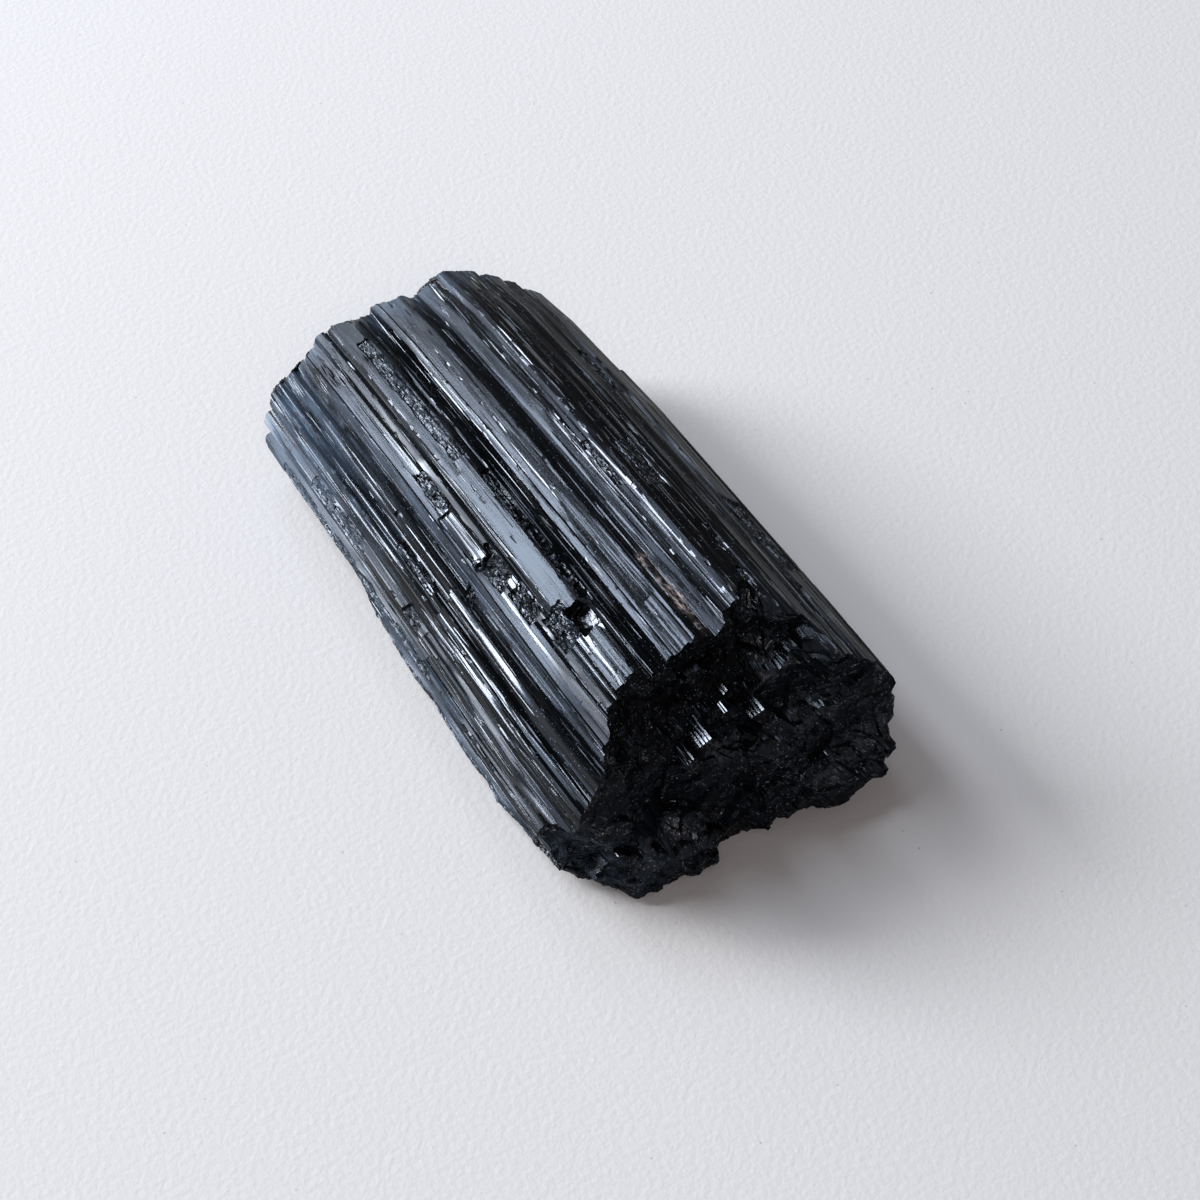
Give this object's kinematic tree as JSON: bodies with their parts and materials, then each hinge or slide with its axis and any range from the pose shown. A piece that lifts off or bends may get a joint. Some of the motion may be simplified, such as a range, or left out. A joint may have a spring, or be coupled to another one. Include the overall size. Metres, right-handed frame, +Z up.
{
  "type": "tourmaline crystal",
  "caption": "Black tourmaline hand specimen: a bundle of striated columns grown into one blunt prism, rough and broken at its ends, lying on a long side.",
  "frame": {"origin": "middle of the crystal's footprint, on the surface that it lies on", "axes": "+X along the columns towards the broken end, +Z up from the table, +Y towards the steep side"},
  "size_m": [0.0516, 0.0276, 0.0162],
  "materials": {
    "black_tourmaline": "glassy, finely striated along the columns, granular on the broken ends"
  },
  "bodies": {
    "root": {"tourmaline_crystal": "black_tourmaline"}
  },
  "joints": []
}
